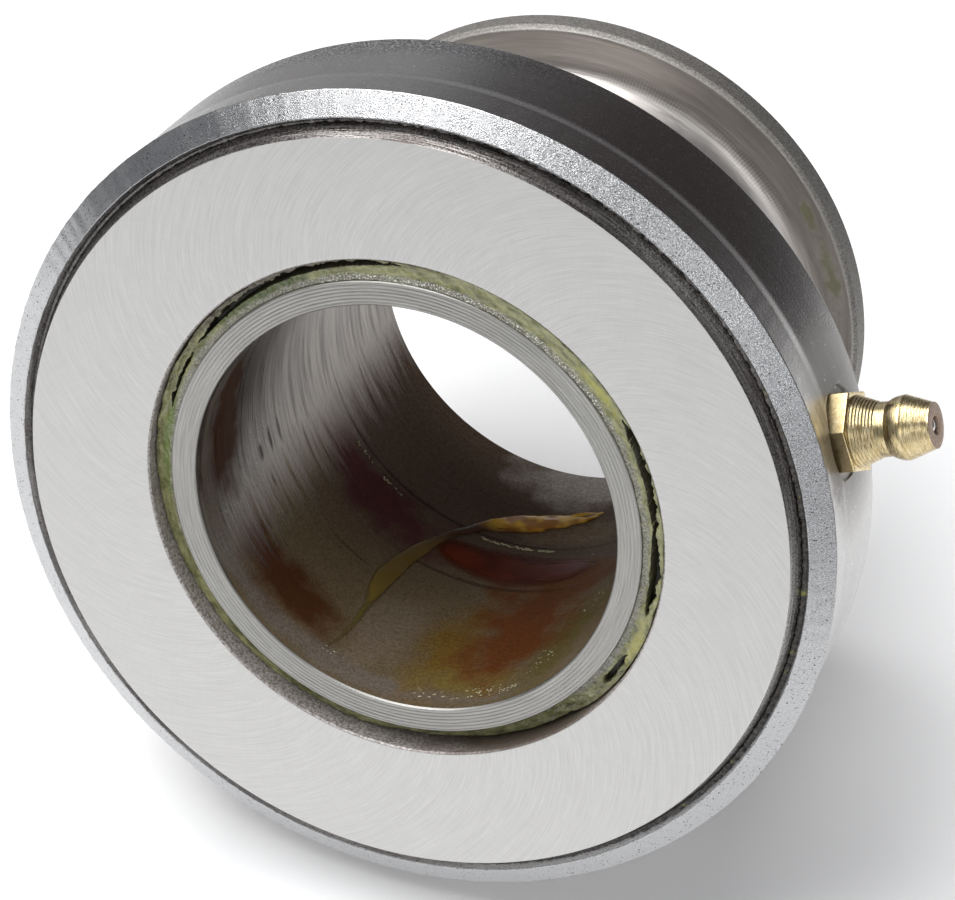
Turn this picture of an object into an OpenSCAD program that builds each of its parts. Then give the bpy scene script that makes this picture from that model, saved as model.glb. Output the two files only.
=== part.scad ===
// Clutch release bearing: a grooved carrier sleeve whose cup holds a ball thrust
// bearing under a rolled-in lip, with a grease fitting on the rim.
// The sleeve stands on its rear collar, with the thrust face up.
// Millimetres. Z runs along the bore, +X points along the grease fitting.

/* [Carrier sleeve] */
// Height of the thrust face above the rear collar's face
overall_h = 55; // [50:0.5:64]
// Bore that slides on the gearbox quill
bore_d = 46; // [44:0.1:47]
// Wall of the spigot that shows inside the front race
spigot_wall = 2.7; // [2.4:0.1:3.2]
// Distance of the spigot's end behind the thrust face
spigot_recess = 0.3; // [0.1:0.1:1]
// Chamfer at the front mouth of the bore
front_chamfer = 0.2; // [0.1:0.1:1]
// Chamfer at the rear mouth of the bore
rear_chamfer = 0.6; // [0.3:0.1:1.5]

/* [Fork groove and collar] */
// Wall of the neck at the bottom of the fork groove
neck_wall = 3.2; // [2.5:0.1:5]
// Fillet at both ends of the fork groove
groove_fillet = 3.5; // [1:0.5:5]
// Outside diameter of the rear collar
collar_d = 66.1; // [62:0.1:72]
// Width of the rear collar
collar_w = 3.7; // [2.5:0.1:6]
// Chamfer on the collar's two outer edges
collar_edge = 0.5; // [0.2:0.1:1]

/* [Housing flange] */
// Outside diameter of the flange
flange_d = 89.4; // [88:0.1:94]
// Wall of the cup around the rear race
cup_wall = 4.1; // [3.6:0.1:5]
// Floor of the cup behind the rear race
floor_t = 3.9; // [2.5:0.1:6]
// Length of the taper at the back of the flange
taper_w = 4.6; // [2:0.1:6]
// Drop of that taper, on the radius
taper_drop = 0.2; // [0.1:0.1:0.8]
// Chamfer on the flange's edges
flange_edge = 0.3; // [0.1:0.1:0.5]
// Wall of the cup around the front race's tail
tail_wall = 2.4; // [1.8:0.1:3]

/* [Rolled lip] */
// Thin wall that is rolled in over the front race
lip_t = 1; // [0.7:0.1:1.2]
// Distance of the lip's front edge behind the thrust face
lip_setback = 1.2; // [0.8:0.1:1.6]
// Width of the lip, on the radius
lip_w = 2.45; // [1.6:0.05:2.8]
// Height of the lip, along the bore
lip_h = 1.6; // [1.2:0.1:2.2]
// Bulge that rolling leaves behind the lip, on the radius
bulge = 0.65; // [0.1:0.05:0.9]
// Straight length of that bulge
bulge_w = 2.4; // [1.6:0.1:3]
// Length of the slope from the bulge down to the flange
slope_w = 4; // [2:0.1:5]
// Depth of the turned recess behind the lip's bend
recess_h = 1.5; // [1.2:0.1:2]

/* [Races, balls and cage] */
// Number of balls
ball_count = 20; // [16:1:20]
// Front race's thickness behind its groove
front_web = 4.2; // [3.9:0.1:6]
// Rear race's thickness behind its groove
rear_web = 2.4; // [1.8:0.1:4]
// Depth of the ball grooves as a share of the ball's diameter
groove_share = 0.252; // [0.18:0.002:0.28]
// Groove radius as a share of the ball's diameter
conformity = 0.52; // [0.51:0.005:0.54]
// Open gap between the spigot and the front race's bore
race_gap = 2.4; // [1.8:0.1:3]
// Edge break at the front race's bore
race_edge = 0.2; // [0.1:0.1:0.6]
// Taper of the front race's rim, radius for each millimetre of height
rim_taper = 0.32; // [0.25:0.01:0.36]
// Corner relief on the rear race, which lets grease in
relief_w = 2; // [1:0.1:2.4]
// Height of that corner relief
relief_h = 2.8; // [1.5:0.1:3.2]
// Smallest bar between two cage pockets
cage_bar = 2.7; // [2:0.1:4]
// Sheet thickness of the cage
cage_t = 1; // [0.8:0.1:1.2]
// Height of the cage's rims as a share of the gap between the races
cage_share = 0.74; // [0.5:0.02:0.8]

/* [Grease fitting] */
// Hexagon across its flats
hex_af = 7.94; // [7:0.01:9]
// Height of the hexagon
hex_h = 2.2; // [1.8:0.1:3]
// Distance of the fitting's axis behind the thrust face
fitting_setback = 11.04; // [10:0.02:12]
// Turn of the leading corner away from the front
hex_turn = 24; // [0:1:30]
// Diameter of the threaded shank
shank_d = 6.35; // [5.5:0.05:6.5]
// Depth of the spot face that the hexagon sits on
spot_depth = 0.45; // [0.35:0.05:0.8]
// Room around the hexagon on the spot face
spot_room = 0.6; // [0.4:0.1:1]
// Distance of the shank's inner end from the cup's wall
shank_setback = 0.3; // [0.2:0.1:0.6]
// Neck diameter where it leaves the hexagon
neck_base_d = 7.4; // [6.8:0.1:7.6]
// Neck diameter at the waist under the head
waist_d = 5.56; // [5:0.05:6]
// Length of the tapered neck, up to the waist
neck_h = 2.5; // [2:0.1:3.2]
// Diameter of the round head
head_d = 6.6; // [6.2:0.05:7]
// Height of the head's middle above the hexagon
head_h = 5.2; // [4.9:0.1:5.8]
// Diameter of the flat tip
tip_d = 4.7; // [4:0.1:5.2]
// Height of the tip above the hexagon
tip_h = 8; // [7.6:0.05:9]
// Hole in the tip
inlet_d = 1.9; // [1.5:0.05:2.1]
// Diameter of the check ball
check_d = 2.4; // [2.2:0.05:2.6]
// Bore of the spring chamber
chamber_d = 2.8; // [2.7:0.05:3]
// Length of the straight inlet before the ball's seat
inlet_h = 0.5; // [0.3:0.05:0.7]
// Staked lip at the shank's inner end
stake_t = 0.4; // [0.3:0.05:0.6]
// Wire of the check spring
wire_d = 0.36; // [0.3:0.02:0.42]
// Turns of the check spring
spring_turns = 7; // [5:1:9]

/* [Fits] */
// Radial clearance of pressed and seated pieces
seat_clear = 0.02; // [0.01:0.01:0.04]
// Clearance between a ball and its groove
ball_clear = 0.06; // [0.05:0.01:0.1]
// Clearance between a ball and its cage pocket
pocket_clear = 0.15; // [0.1:0.05:0.25]
// Clearance between the cage's rims and the walls beside them
cage_side_clear = 0.63; // [0.4:0.01:0.8]
// Gap between the front race and the lip
lip_gap = 0.35; // [0.3:0.05:0.5]
// Gap between the front race and the rim around it
rim_gap = 0.5; // [0.3:0.1:0.8]
// Clearance between the check ball and its seat
check_clear = 0.05; // [0.03:0.01:0.1]
// Clearance between the check spring and its chamber
spring_clear = 0.15; // [0.1:0.05:0.2]

/* [Hidden] */
$fn = 96;

// Radii from the bore outwards
bore_r = bore_d / 2;
spigot_r = bore_r + spigot_wall;
neck_r = bore_r + neck_wall;
collar_r = collar_d / 2;
race_bore_r = spigot_r + race_gap;
flange_r = flange_d / 2;
flange_back_r = flange_r - taper_drop;
cup_r = flange_r - cup_wall;
tail_in_r = flange_r - tail_wall;
bulge_r = flange_r + bulge;
recess_r = bulge_r - lip_t;

// The ring of balls fills the channel between the race's bore and the cup
pitch_r = (race_bore_r + cup_r) / 2;
channel_r = (cup_r - race_bore_r) / 2 - cage_side_clear - 1.5 * cage_t - pocket_clear;
spacing_r = PI * pitch_r / ball_count - cage_bar / 2;
ball_r = min(channel_r, spacing_r);
ball_d = 2 * ball_r;
ball_step = 360 / ball_count;
groove_r = ball_d * conformity;
groove_depth = ball_d * groove_share;
groove_shift = groove_r - ball_r - ball_clear;
pocket_r = ball_r + pocket_clear;
cage_half_w = pocket_r + cage_t;

// Heights from the thrust face down
lip_z = overall_h - lip_setback;
bend_z = lip_z - lip_h;
bulge_z = bend_z - bulge_w;
slope_z = bulge_z - slope_w;
ledge_z = bend_z - recess_h;
spigot_z = overall_h - spigot_recess;
ball_z = overall_h - front_web - ball_clear - ball_r;
front_land_z = overall_h - front_web - groove_depth;
rear_groove_z = ball_z - ball_r - ball_clear;
rear_land_z = rear_groove_z + groove_depth;
cage_h = cage_share * (front_land_z - rear_land_z);
seat_z = rear_groove_z - rear_web;
flange_z = seat_z - floor_t;
cup_step_z = front_land_z - rim_gap;
race_step_z = ledge_z + rim_gap;

// The lip's cut edge, and the race's rim that runs inside it
lip_len = norm([lip_w, lip_h]);
lip_r = bulge_r - lip_w;
lip_in_r = lip_r - lip_t * lip_h / lip_len;
lip_in_z = lip_z - lip_t * lip_w / lip_len;
recess_z = lip_in_z - (recess_r - lip_in_r) * lip_h / lip_w;
rim_face_r = lip_in_r - lip_gap - rim_taper * (overall_h - lip_in_z);
rim_max_r = lip_in_r - lip_gap + rim_taper * (lip_in_z - race_step_z);
race_tail_r = tail_in_r - rim_gap;

// The grease fitting, with its own height measured from the spot face
hex_r = hex_af / 2 / cos(30);
fitting_z = overall_h - fitting_setback;
spot_r = flange_r - spot_depth;
spot_face_r = hex_r + spot_room;
shank_r = shank_d / 2;
shank_h = spot_r - cup_r - shank_setback;
fitting_h = hex_h + tip_h;
head_r = head_d / 2;
head_z = hex_h + head_h;
inlet_r = inlet_d / 2;
check_r = check_d / 2;
chamber_r = chamber_d / 2;
cone_z = fitting_h - inlet_h;
chamber_z = cone_z - (chamber_r - inlet_r);
check_z = cone_z + inlet_r - (check_r + check_clear) / sin(45);
stake_z = -shank_h + stake_t;
wire_r = wire_d / 2;
coil_r = chamber_r - wire_r - spring_clear;
spring_top = check_z - sqrt(pow(check_r + wire_r + check_clear, 2) - pow(coil_r, 2));
spring_foot = stake_z + wire_r + check_clear;

BALLS = [for (i = [1:ball_count]) str("ball_", i)];

// A fillet that fills the corner at the origin, towards +X and +Y
module corner_fillet(r) {
    difference() {
        square(r);
        translate([r, r]) circle(r);
    }
}

// A ball groove around the axis, cut into a race
module ball_groove(z) {
    translate([pitch_r, z]) circle(groove_r);
}

// Puts what it holds at the middle of one ball
module at_ball(i) {
    rotate(i * ball_step) translate([pitch_r, 0, ball_z]) children();
}

// Stands what it holds on the spot face, pointing outwards along +X
module on_spot_face() {
    translate([spot_r, 0, fitting_z]) rotate([0, 90, 0]) children();
}

// Turned sleeve: rear collar, fork groove, flange with its cup and rolled lip, and front spigot
module carrier_sleeve() {
    color("dimgray") difference() {
        rotate_extrude() {
            polygon([
                [bore_r, rear_chamfer],
                [bore_r + rear_chamfer, 0],
                [collar_r - collar_edge, 0],
                [collar_r, collar_edge],
                [collar_r, collar_w - collar_edge],
                [collar_r - collar_edge, collar_w],
                [neck_r, collar_w],
                [neck_r, flange_z],
                [flange_back_r - flange_edge, flange_z],
                [flange_back_r, flange_z + flange_edge],
                [flange_r, flange_z + taper_w],
                [flange_r, slope_z],
                [bulge_r, bulge_z],
                [bulge_r, bend_z],
                [lip_r, lip_z],
                [lip_in_r, lip_in_z],
                [recess_r, recess_z],
                [recess_r, ledge_z],
                [tail_in_r, ledge_z],
                [tail_in_r, cup_step_z],
                [cup_r, cup_step_z],
                [cup_r, seat_z],
                [spigot_r, seat_z],
                [spigot_r, spigot_z],
                [bore_r + front_chamfer, spigot_z],
                [bore_r, spigot_z - front_chamfer]
            ]);
            translate([neck_r, collar_w]) corner_fillet(groove_fillet);
            translate([neck_r, flange_z]) mirror([0, 1]) corner_fillet(groove_fillet);
        }
        on_spot_face() cylinder(h = flange_r, r = spot_face_r);
        on_spot_face() translate([0, 0, -cup_wall]) cylinder(h = 2 * cup_wall, r = shank_r);
    }
}

// Stationary race, seated in the cup on the spigot
module rear_race() {
    in_r = spigot_r + seat_clear;
    out_r = cup_r - seat_clear;
    color("slategray") rotate_extrude() difference() {
        polygon([
            [in_r, seat_z],
            [out_r, seat_z],
            [out_r, rear_land_z - relief_h],
            [out_r - relief_w, rear_land_z],
            [in_r + race_edge, rear_land_z],
            [in_r, rear_land_z - race_edge]
        ]);
        ball_groove(ball_z + groove_shift);
    }
}

// Pressed ring with a round pocket for each ball and rims turned both ways
module ball_cage() {
    color("gray") difference() {
        rotate_extrude() {
            translate([pitch_r - cage_half_w, ball_z - cage_t / 2]) square([2 * cage_half_w, cage_t]);
            for (side = [-1, 1]) {
                translate([pitch_r + side * cage_half_w, ball_z]) square([cage_t, cage_h], center = true);
            }
        }
        for (i = [1:ball_count]) {
            at_ball(i) cylinder(h = 2 * cage_h, r = pocket_r, center = true);
        }
    }
}

// One ball of the ring, counted from the fitting
module ball(i) {
    color("silver") at_ball(i) sphere(ball_r);
}

// Turning race with the ground thrust face and a tapered rim behind the lip
module front_race() {
    color("lightgray") rotate_extrude() difference() {
        polygon([
            [race_bore_r, front_land_z],
            [race_tail_r, front_land_z],
            [race_tail_r, race_step_z],
            [rim_max_r, race_step_z],
            [rim_face_r, overall_h],
            [race_bore_r + race_edge, overall_h],
            [race_bore_r, overall_h - race_edge]
        ]);
        ball_groove(ball_z - groove_shift);
    }
}

// Brass grease fitting: shank, hexagon, tapered neck and round head, bored through
module grease_fitting() {
    tip_r = tip_d / 2;
    color("gold") on_spot_face() difference() {
        union() {
            translate([0, 0, -shank_h]) cylinder(h = shank_h + hex_h, r = shank_r - seat_clear);
            rotate(180 - hex_turn) cylinder(h = hex_h, r = hex_r, $fn = 6);
            translate([0, 0, hex_h]) cylinder(h = neck_h, r1 = neck_base_d / 2, r2 = waist_d / 2);
            cylinder(h = head_z, r = waist_d / 2);
            intersection() {
                translate([0, 0, head_z]) sphere(head_r);
                cylinder(h = head_z, r = head_d);
            }
            translate([0, 0, head_z]) cylinder(h = tip_h - head_h, r1 = head_r, r2 = tip_r);
        }
        translate([0, 0, cone_z - stake_t]) cylinder(h = inlet_h + 2 * stake_t, r = inlet_r);
        translate([0, 0, chamber_z]) cylinder(h = chamber_r - inlet_r, r1 = chamber_r, r2 = inlet_r);
        translate([0, 0, stake_z]) cylinder(h = chamber_z - stake_z, r = chamber_r);
        translate([0, 0, -shank_h - stake_t]) cylinder(h = 3 * stake_t, r = inlet_r);
    }
}

// Steel ball that closes the fitting's inlet
module check_ball() {
    color("silver") on_spot_face() translate([0, 0, check_z]) sphere(check_r);
}

// Round wire spring behind the check ball, swept along a helix
module check_spring() {
    steps = 12;
    sides = 6;
    rings = spring_turns * steps;
    rise = spring_top - spring_foot;
    points = [
        for (i = [0:rings], k = [0:sides - 1])
            let (a = 360 * i / steps, b = 360 * k / sides, r = coil_r + wire_r * cos(b))
                [r * cos(a), r * sin(a), spring_foot + rise * i / rings + wire_r * sin(b)]
    ];
    walls = [
        for (i = [0:rings - 1], k = [0:sides - 1], half = [0, 1])
            let (a = i * sides + k, b = i * sides + (k + 1) % sides)
                half == 0 ? [a, b, b + sides] : [a, b + sides, a + sides]
    ];
    foot = [for (k = [1:sides - 2]) [0, k + 1, k]];
    top = [for (k = [1:sides - 2]) [rings * sides, rings * sides + k, rings * sides + k + 1]];
    color("lightsteelblue") on_spot_face() polyhedron(points, concat(foot, top, walls));
}

carrier_sleeve();
rear_race();
ball_cage();
for (i = [1:ball_count]) {
    ball(i);
}
front_race();
grease_fitting();
check_ball();
check_spring();
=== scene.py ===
import math
import random

import bpy
from mathutils import Matrix, Vector, noise


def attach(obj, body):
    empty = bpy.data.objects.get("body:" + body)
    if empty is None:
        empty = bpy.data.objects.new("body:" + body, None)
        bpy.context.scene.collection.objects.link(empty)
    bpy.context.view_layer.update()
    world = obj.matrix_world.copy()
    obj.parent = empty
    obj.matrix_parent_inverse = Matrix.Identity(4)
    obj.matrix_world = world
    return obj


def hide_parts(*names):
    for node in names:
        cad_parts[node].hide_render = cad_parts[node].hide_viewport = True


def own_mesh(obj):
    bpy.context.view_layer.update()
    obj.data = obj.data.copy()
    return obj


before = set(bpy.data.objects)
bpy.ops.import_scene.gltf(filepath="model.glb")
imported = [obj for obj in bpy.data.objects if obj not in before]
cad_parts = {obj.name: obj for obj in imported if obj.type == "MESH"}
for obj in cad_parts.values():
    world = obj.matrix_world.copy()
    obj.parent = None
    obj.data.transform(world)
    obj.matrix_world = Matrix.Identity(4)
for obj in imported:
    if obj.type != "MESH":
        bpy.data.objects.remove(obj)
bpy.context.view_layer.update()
scene = bpy.context.scene

# Carrier sleeve: one steel turning with rear collar, fork groove, cupped flange, rolled lip and front spigot.
# The profile is turned about the bore; rolling the lip in leaves a bulge behind it and ragged edges.
# A spot face is milled under the grease fitting. Sizes are in mm, with MM of them to a metre.
MM = 1000
BORE_R, BORE_CHAMFER, SPIGOT_R, SPIGOT_Z = 23.0, 0.6, 25.7, 54.7
COLLAR_R, COLLAR_Z, COLLAR_CHAMFER, NECK_R, NECK_FILLET = 33.05, 3.7, 0.5, 26.2, 3.5
FLANGE_R, FLANGE_BACK_R, FLANGE_Z, FLANGE_CHAMFER, TAPER_Z = 44.7, 44.5, 36.44, 0.3, 41.04
STEP_FROM_Z, STEP_TO_Z, STEP_RISE, STEP_POINTS = 46.0, 48.4, 0.3, 10
BULGE_R, BEND_Z, RAGGED, RAGGED_REACH = 45.35, 52.2, 0.05, 0.3
LIP_R, LIP_Z, LIP_IN_R, LIP_IN_Z = 42.9, 53.8, 42.353, 52.963
RECESS_R, RECESS_Z, LEDGE_Z, TAIL_IN_R = 44.35, 51.659, 50.7, 42.3
CUP_STEP_Z, CUP_R, SEAT_Z = 48.3, 40.6, 40.34
END_OUT_R, END_IN_R, END_RINGS, END_RING_DEPTH = SPIGOT_R - 0.15, BORE_R + 0.3, 6, 0.05
SPOT_R, SPOT_FACE_R, SPOT_CUT, SPOT_SIDES, FITTING_Z = 44.25, 4.8, 5.0, 96, 43.96


def arc(r, z, radius, start, end, steps):
    """Points of an arc in a profile, in mm and degrees."""
    turn = [math.radians(start + (end - start) * i / steps) for i in range(steps + 1)]
    return [(r + radius * math.cos(a), z + radius * math.sin(a)) for a in turn]


def swing(r, turn, z):
    """Point at a radius, an angle in radians and a height."""
    return r * math.cos(turn), r * math.sin(turn), z


def quads(rows, columns, round_rows=False, round_columns=False, flip=False):
    """Faces of a grid of points, joined end to end along its rows or columns where asked."""
    faces = []
    for i in range(rows if round_rows else rows - 1):
        for k in range(columns if round_columns else columns - 1):
            j, n = (i + 1) % rows * columns, (k + 1) % columns
            here = i * columns
            faces.append((here + k, here + n, j + n, j + k) if flip else (here + k, j + k, j + n, here + n))
    return faces


def show(name, verts, faces, finishes, marks=None):
    """Makes a smooth-shaded mesh piece from points in mm."""
    mesh = bpy.data.meshes.new(name)
    mesh.from_pydata([(x / MM, y / MM, z / MM) for x, y, z in verts], [], faces)
    for finish in finishes:
        mesh.materials.append(finish)
    if marks:
        mesh.polygons.foreach_set("material_index", marks)
    mesh.polygons.foreach_set("use_smooth", [True] * len(mesh.polygons))
    mesh.validate()
    piece = bpy.data.objects.new(name, mesh)
    scene.collection.objects.link(piece)
    return piece


def soften(profile, edge):
    """Rounds the sharp corners of a closed profile of (radius, height, finish), with finish 0 by default."""
    points = [(p[0], p[1], p[2] if len(p) > 2 else 0) for p in profile]
    soft = []
    for k, point in enumerate(points):
        here, last = Vector(point[:2]), points[k - 1]
        before = Vector(last[:2]) - here
        after = Vector(points[(k + 1) % len(points)][:2]) - here
        if math.pi - before.angle(after) < math.radians(28):
            soft.append(point)
            continue
        cut = min(edge, before.length * 0.4, after.length * 0.4)
        start, end = here + before.normalized() * cut, here + after.normalized() * cut
        for t in (0, 1 / 3, 2 / 3, 1):
            spot = start * (1 - t) ** 2 + here * (2 * t * (1 - t)) + end * t ** 2
            soft.append((spot.x, spot.y, last[2] if t < 0.5 else point[2]))
    return soft


def lathe(name, profile, finishes, edge=0.12, turns=360):
    """Turns a closed profile about Z, with its edges broken."""
    profile = soften(profile, edge)
    verts = [swing(p[0], 2 * math.pi * i / turns, p[1]) for i in range(turns) for p in profile]
    faces = quads(turns, len(profile), round_rows=True, round_columns=True)
    piece = show(name, verts, faces, finishes, [p[2] for p in profile] * turns)
    even = piece.modifiers.new("even_shading", "WEIGHTED_NORMAL")
    even.weight = 90
    return piece


def rgb(code):
    """Linear colour from an sRGB hex code."""
    parts = [int(code[i:i + 2], 16) / 255 for i in (1, 3, 5)]
    return [c / 12.92 if c <= 0.04045 else ((c + 0.055) / 1.055) ** 2.4 for c in parts] + [1]


def fill(tree, node, inputs):
    """Links or sets a node's inputs, given by name or in the order of its open sockets."""
    opened = [socket for socket in node.inputs if socket.enabled]
    for key, value in inputs.items() if isinstance(inputs, dict) else enumerate(inputs):
        socket = node.inputs[key] if isinstance(key, str) else opened[key]
        if isinstance(value, bpy.types.NodeSocket):
            tree.links.new(value, socket)
        else:
            socket.default_value = value


def add(tree, kind, inputs=(), **settings):
    """Adds a shader node with its settings and links, and gives its first open output."""
    node = tree.nodes.new("ShaderNode" + kind)
    for name, value in settings.items():
        setattr(node, name, value)
    fill(tree, node, inputs)
    return next(socket for socket in node.outputs if socket.enabled)


def round_space(tree):
    """Object position in mm, and its radius, height, angle and direction around the bore."""
    object_place = add(tree, "TexCoord").node.outputs["Object"]
    place = add(tree, "VectorMath", (object_place, MM), operation="SCALE")
    x, y, height = add(tree, "SeparateXYZ", (place,)).node.outputs
    flat = add(tree, "CombineXYZ", (x, y))
    radius = add(tree, "VectorMath", (flat,), operation="LENGTH")
    angle = add(tree, "Math", (y, x), operation="ARCTAN2")
    around = add(tree, "VectorMath", (flat,), operation="NORMALIZE")
    return place, radius, height, angle, around


def degrees(tree, angle, ahead=0):
    """Angle from 0 to 360 degrees, counted from so many degrees before +X."""
    if ahead:
        angle = add(tree, "Math", (angle, math.radians(ahead)), operation="ADD")
    whole = add(tree, "Math", (angle, 2 * math.pi), operation="FLOORED_MODULO")
    return add(tree, "Math", (whole, 180 / math.pi), operation="MULTIPLY")


def turning(tree, around, across, pitch, sweep, detail=3.0):
    """Noise in long streaks around the axis: pitch is their spacing in mm, sweep how often they change."""
    circle = add(tree, "VectorMath", (around, sweep), operation="SCALE")
    rise = add(tree, "CombineXYZ", {"Z": add(tree, "Math", (across, pitch), operation="DIVIDE")})
    return add(tree, "TexNoise", (add(tree, "VectorMath", (circle, rise)), 1.0, detail, 0.6))


def patch(tree, across, along, spot, size, warp, strength=1.0):
    """Soft spot at a place, its edge pulled about by a warp."""
    parts = []
    for value, middle, half in ((across, spot[0], size[0]), (along, spot[1], size[1])):
        offset = add(tree, "Math", (value, middle), operation="SUBTRACT")
        share = add(tree, "Math", (offset, half), operation="DIVIDE")
        parts.append(add(tree, "Math", (share, share), operation="MULTIPLY"))
    reach = add(tree, "Math", (add(tree, "Math", parts, operation="ADD"),), operation="SQRT")
    reach = add(tree, "Math", (reach, warp), operation="ADD")
    return add(tree, "MapRange", (reach, 1.15, 0.5, 0.0, strength))


def finish(name):
    """New material and its principled shader."""
    material = bpy.data.materials.new(name)
    material.use_nodes = True
    return material, material.node_tree, material.node_tree.nodes["Principled BSDF"]


# Turned steel under oil: grey metal with fine lines around the axis and an olive smear on the collar.
# The lines follow the tool's feed of about 0.12 mm, and its chatter on the collar's fillet is painted as dark
# stripes where the fillet's highlight falls.
turned, tree, shader = finish("turned_steel_oiled")
place, radius, height, angle, around = round_space(tree)
turn = degrees(tree, angle, 90)
low = add(tree, "MapRange", (height, 7.0, 5.0))
across = add(tree, "Math", (height, add(tree, "Math", (radius, 1.37), operation="MULTIPLY")), operation="ADD")
fine = turning(tree, around, across, 0.12, 6)
broad = turning(tree, around, across, 0.9, 2.5)
tone = add(tree, "MapRange", (add(tree, "Mix", (0.5, fine, broad)), 0.3, 0.7))
steel = add(tree, "Mix", (tone, rgb("#a39e99"), rgb("#cfcac6")), data_type="RGBA")
edge = add(tree, "Math", (add(tree, "MapRange", (radius, 32.2, 32.8)), low), operation="MULTIPLY")
grain = add(tree, "MapRange", (add(tree, "TexNoise", (place, 1 / 0.2)), 0.35, 0.65))
rim = add(tree, "Mix", (grain, rgb("#7a7773"), rgb("#a4a19d")), data_type="RGBA")
steel = add(tree, "Mix", (edge, steel, rim), data_type="RGBA")
# Chatter: dark stripes painted into the colour only where the fillet's highlight falls, standing in for the
# light and shade on the chatter ridges.
CHATTER_MARKS = 480
chatter = add(tree, "Math", (angle, CHATTER_MARKS), operation="MULTIPLY")
chatter = add(tree, "MapRange", (add(tree, "Math", (chatter,), operation="SINE"), -0.6, 0.6))
chatter_shade = add(tree, "Math", (
    patch(tree, turn, radius, (119, 28.5), (14, 0.9), 0.0, 0.28),
    patch(tree, turn, radius, (147, 28.5), (13, 0.9), 0.0, 0.22),
), operation="MAXIMUM")
chatter_shade = add(tree, "Math", (chatter_shade, low), operation="MULTIPLY")
chatter_shade = add(tree, "Math", (chatter_shade, chatter), operation="MULTIPLY")
steel = add(tree, "Mix", (chatter_shade, steel, rgb("#4c4845")), data_type="RGBA")
warp = add(tree, "MapRange", (add(tree, "TexNoise", (place, 1 / 1.6, 3.0)), 0.0, 1.0, -1.1, 1.1))
smears = add(tree, "Math", (
    patch(tree, turn, radius, (104.5, 31.2), (4.5, 0.8), warp, 0.75),
    patch(tree, turn, radius, (90.5, 31.1), (7.5, 0.9), warp, 0.75),
), operation="MAXIMUM")
smears = add(tree, "Math", (smears, low), operation="MULTIPLY")
polish = add(tree, "MapRange", (fine, 0.3, 0.7, 0.3, 0.42))
fill(tree, shader, {
    "Metallic": add(tree, "MapRange", (smears, 0.0, 1.0, 1.0, 0.2)),
    "Base Color": add(tree, "Mix", (smears, steel, rgb("#5f6136")), data_type="RGBA"),
    "Roughness": add(tree, "Math", (edge, 0.32, polish), operation="MULTIPLY_ADD"),
    "Normal": add(tree, "Bump", {"Height": fine, "Distance": 0.02 / MM}),
})

# Bore wall: bare steel streaked by the tool, half of it under a film of old oil in browns, reds and ambers,
# with a pale sheen painted by the rear mouth.
# The tool's streaks are drawn wider than real ones, so that they show from the camera.
wall, tree, shader = finish("oiled_bore")
place, radius, height, angle, around = round_space(tree)
turn = degrees(tree, angle)
fine = turning(tree, around, height, 0.85, 2.0, 4.0)
grain = add(tree, "TexNoise", (place, 1 / 0.3, 3.0))
warp = add(tree, "MapRange", (add(tree, "TexNoise", (place, 1 / 4.0, 4.0)), 0.0, 1.0, -0.8, 0.8))
half_warp = add(tree, "Math", (warp, 0.5), operation="MULTIPLY")
streaks = add(tree, "MapRange", (fine, 0.38, 0.64))
steel = add(tree, "Mix", (streaks, rgb("#57514d"), rgb("#948f89")), data_type="RGBA")
torn = add(tree, "Math", (turn, add(tree, "MapRange", (fine, 0.0, 1.0, -22.5, 22.5))), operation="ADD")
film = add(tree, "Math", (
    add(tree, "MapRange", (torn, 182, 200)), add(tree, "MapRange", (turn, 335, 308)),
), operation="MULTIPLY")
for spot, size, strength in (((158, 47.5), (26, 5.0), 0.9), ((185, 52), (60, 2.2), 0.7)):
    drip = patch(tree, turn, height, spot, size, warp, strength)
    film = add(tree, "Math", (film, drip), operation="MAXIMUM")
depth = add(tree, "MapRange", (height, 36, 18))
oil = add(tree, "Mix", (depth, rgb("#76674f"), rgb("#68584c")), data_type="RGBA")
for spot, size, code, strength in (
    ((158, 47.5), (28, 6.0), "#4c2e20", 1.0),
    ((225, 52), (75, 2.2), "#7d7369", 0.9),
    ((208, 46.5), (24, 5.0), "#55331f", 1.0),
    ((238, 43), (10, 9.0), "#857765", 0.8),
    ((212, 23.5), (27, 5.0), "#5c3436", 0.95),
    ((257, 43), (11, 11.0), "#7d6024", 0.9),
    ((266, 49), (20, 3.5), "#83703a", 0.85),
    ((290, 44), (10, 13.0), "#6a5f38", 0.9),
    ((272, 38), (18, 11.5), "#70401f", 1.0),
    ((276, 28), (17, 6.0), "#683c1c", 0.95),
    ((268, 14), (16, 4.0), "#8d7b62", 0.8),
    # Painted sheen: a pale grey patch by the rear mouth, standing in for light mirrored off the wall there.
    ((263, 3.2), (26, 5.0), "#b4ada6", 0.85),
):
    tint_patch = patch(tree, turn, height, spot, size, warp, strength)
    oil = add(tree, "Mix", (tint_patch, oil, rgb(code)), data_type="RGBA")
# Thin dark lines drawn into the colour of the steel and the oil at a few places, two of them along the edges
# of the oil pool.
for spot, size, strength in (
    ((178, 38.8), (2.6, 0.5), 0.9), ((187, 38.2), (2.4, 0.3), 0.7), ((177, 36.2), (3.8, 0.45), 0.9),
    ((177, 33.8), (3.6, 0.35), 0.8), ((224, 18.4), (58, 0.3), 0.6), ((252, 28.4), (34, 0.35), 0.5),
    ((216, 34.0), (9, 0.35), 0.4),
):
    dark_line = patch(tree, turn, height, spot, size, half_warp, strength)
    steel = add(tree, "Mix", (dark_line, steel, rgb("#1d1815")), data_type="RGBA")
    oil = add(tree, "Mix", (dark_line, oil, rgb("#241a15")), data_type="RGBA")
mottle = add(tree, "MapRange", (grain, 0.3, 0.7, 0.0, 0.5))
oil = add(tree, "Mix", (mottle, oil, rgb("#33261c")), data_type="RGBA")
streak_bump = add(tree, "Bump", {"Height": fine, "Distance": 0.06 / MM})
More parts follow.
